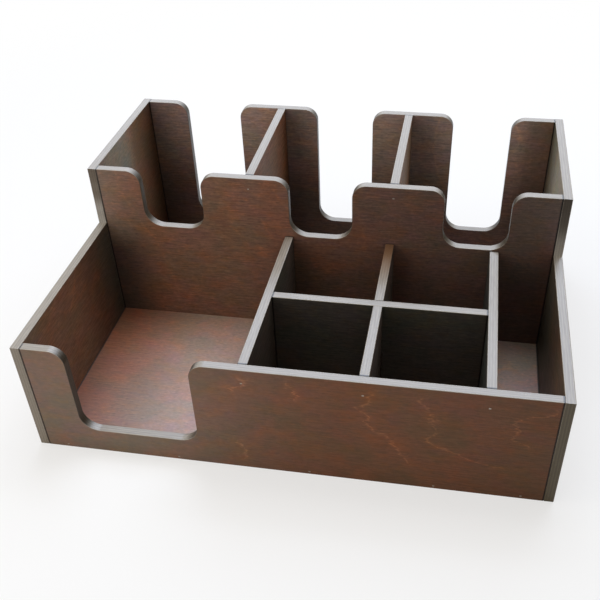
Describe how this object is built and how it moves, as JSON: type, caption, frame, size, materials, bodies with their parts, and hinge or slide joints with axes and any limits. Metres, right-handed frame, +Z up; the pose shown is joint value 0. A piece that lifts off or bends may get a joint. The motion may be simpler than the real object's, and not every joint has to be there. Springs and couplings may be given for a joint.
{
  "type": "bar caddy",
  "caption": "Open two-tier organiser of stained plywood boards with a napkin bay, square cells, a straw slot and rear bays behind walls with U-shaped cut-outs.",
  "frame": {"origin": "middle of the underside", "axes": "+X to the right along the front, +Y to the back, +Z up"},
  "size_m": [0.5, 0.4, 0.19],
  "materials": {
    "stained_plywood": "dark brown stain under satin lacquer, figured birch face, plies on the edges",
    "brad_steel": "bright steel wire"
  },
  "bodies": {
    "root": {"base_panel": "stained_plywood", "front_panel": "stained_plywood", "left_side": "stained_plywood", "right_side": "stained_plywood", "mid_wall": "stained_plywood", "back_wall": "stained_plywood", "rear_divider_left": "stained_plywood", "rear_divider_right": "stained_plywood", "napkin_divider": "stained_plywood", "cell_divider": "stained_plywood", "slot_divider": "stained_plywood", "cross_divider": "stained_plywood", "front_base_brads": "brad_steel", "front_divider_brads": "brad_steel", "mid_rear_brads": "brad_steel", "mid_front_brads": "brad_steel", "back_divider_brads": "brad_steel", "back_base_brads": "brad_steel", "left_wall_brads": "brad_steel", "right_wall_brads": "brad_steel", "left_base_brads": "brad_steel", "right_base_brads": "brad_steel", "base_wall_brads": "brad_steel", "base_divider_brads": "brad_steel", "cross_brads_left": "brad_steel", "cross_brads_right": "brad_steel"}
  },
  "joints": []
}
